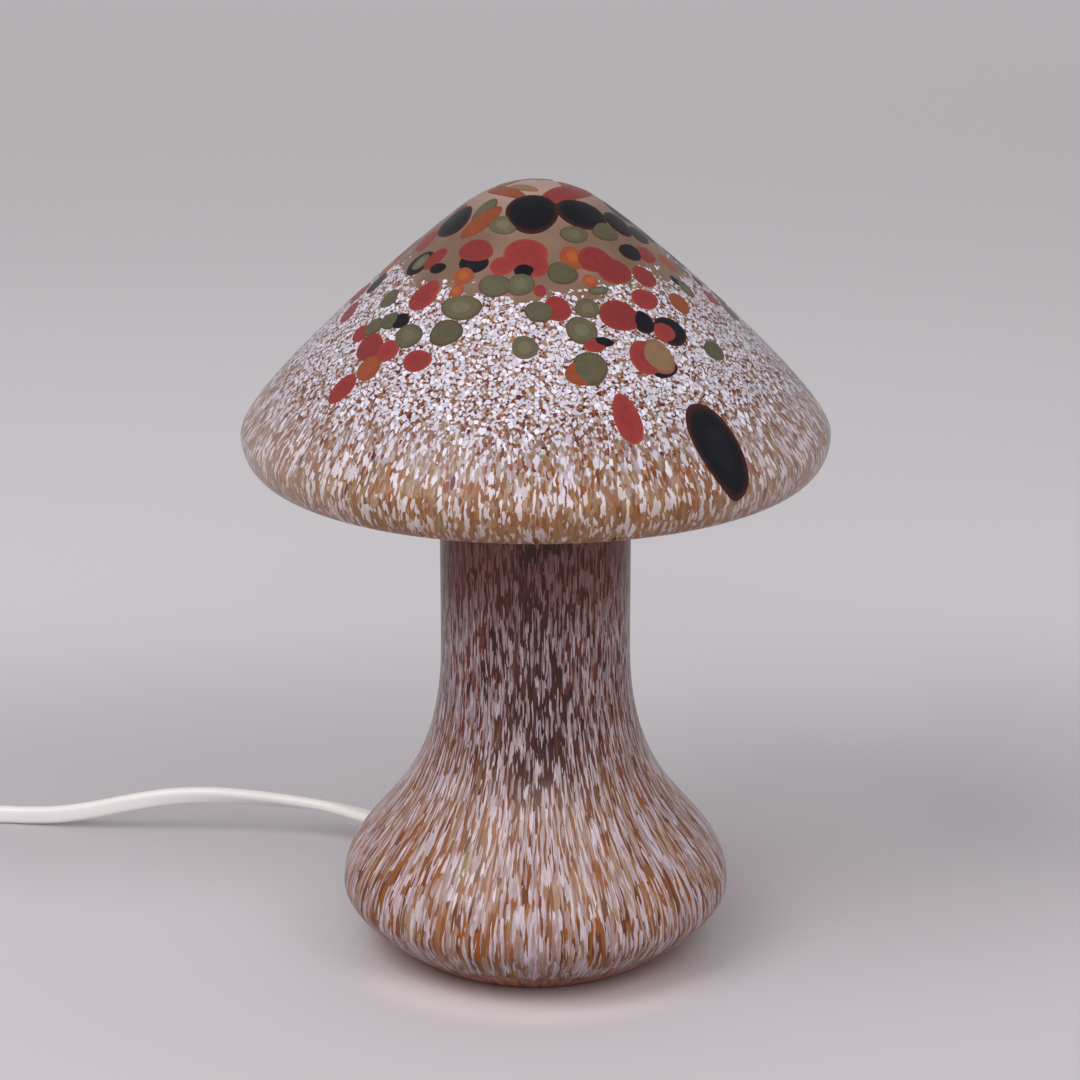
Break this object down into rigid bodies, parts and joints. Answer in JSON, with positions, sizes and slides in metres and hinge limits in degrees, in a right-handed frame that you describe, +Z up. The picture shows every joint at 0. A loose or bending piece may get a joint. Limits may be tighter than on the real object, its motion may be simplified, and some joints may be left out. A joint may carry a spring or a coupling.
{
  "type": "mushroom table lamp",
  "caption": "Blown-glass table lamp shaped like a mushroom: a conical speckled shade rests loose on a streaked stem with a swollen foot; screw lampholder and bulb inside, switch on the cord.",
  "frame": {"origin": "centre of the ground foot ring, on the table under the lamp's axis", "axes": "+Z up along the lamp's axis, front towards -Y, +X to the lamp's right as seen from the front"},
  "size_m": [0.4266, 0.222, 0.2701],
  "materials": {
    "shade_glass": "thick glossy glass with melted-in coloured grains and spots",
    "stem_glass": "thick glossy glass with melted-in vertical streaks",
    "seat_rubber": "soft white rubber",
    "plated_steel": "zinc plated",
    "spring_steel": "blued spring steel",
    "holder_plastic": "moulded thermoset, fine satin",
    "holder_ceramic": "glazed insulating block",
    "brass_contact": "pressed brass",
    "bulb_glass": "opal coated",
    "bulb_metal": "rolled aluminium",
    "bulb_insulator": "black glass insulator",
    "bulb_stem_glass": "clear",
    "filament_metal": "tungsten coil",
    "cord_pvc": "white PVC, satin",
    "core_pvc": "core insulation",
    "tie_plastic": "black plastic tie",
    "switch_plastic": "white moulded",
    "plug_plastic": "white PVC moulding",
    "pin_metal": "nickel plated brass",
    "sleeve_plastic": "white sleeve"
  },
  "bodies": {
    "lamp": {"stem": "stem_glass", "seat_gasket": "seat_rubber", "carrier_plate": "plated_steel", "neck_springs": "spring_steel", "spring_rivets": "plated_steel", "holder_skirt": "holder_plastic", "holder_ring": "holder_plastic", "holder_body": "holder_plastic", "contact_block": "holder_ceramic", "screw_shell": "brass_contact", "centre_contact": "brass_contact", "terminal_screws": "brass_contact", "cord_grip": "holder_plastic", "grip_screw": "plated_steel", "cord_grommet": "cord_pvc", "inner_cord": "cord_pvc", "core_wires": "core_pvc", "cord_lead": "cord_pvc", "cord_tail": "cord_pvc", "cord_coil": "cord_pvc", "cord_end": "cord_pvc", "coil_tie": "tie_plastic", "switch_base": "switch_plastic", "switch_cover": "switch_plastic", "rocker_axle": "plated_steel", "switch_contacts": "brass_contact", "switch_clamps": "switch_plastic", "switch_screws": "plated_steel", "plug_body": "plug_plastic", "plug_pins": "pin_metal", "pin_sleeves": "sleeve_plastic"},
    "shade": {"shade": "shade_glass"},
    "bulb_carriage": {"bulb_contact": "bulb_metal"},
    "bulb": {"bulb_globe": "bulb_glass", "bulb_cap": "bulb_metal", "bulb_insulator": "bulb_insulator", "bulb_mount": "bulb_stem_glass", "bulb_filament": "filament_metal"},
    "rocker": {"switch_rocker": "switch_plastic"}
  },
  "joints": [
    {"name": "shade_lift", "type": "slide", "parent": "lamp", "child": "shade", "axis": [0, 0, 1], "range_m": [0, 0.1]},
    {"name": "bulb_rise", "type": "slide", "parent": "lamp", "child": "bulb_carriage", "axis": [0, 0, 1], "range_m": [0, 0.0141]},
    {"name": "bulb_turn", "type": "hinge", "parent": "bulb_carriage", "child": "bulb", "pos_m": [0, 0, 0.18], "axis": [0, 0, 1], "range_deg": [0, 1800]},
    {"name": "rocker_tilt", "type": "hinge", "parent": "lamp", "child": "rocker", "pos_m": [-0.24, 0.037, 0.0142], "axis": [-1, 0, 0], "range_deg": [0, 14]}
  ],
  "couplings": [
    {"joint": "bulb_turn", "follows": "bulb_rise", "rad_per_m": 2226.5}
  ]
}
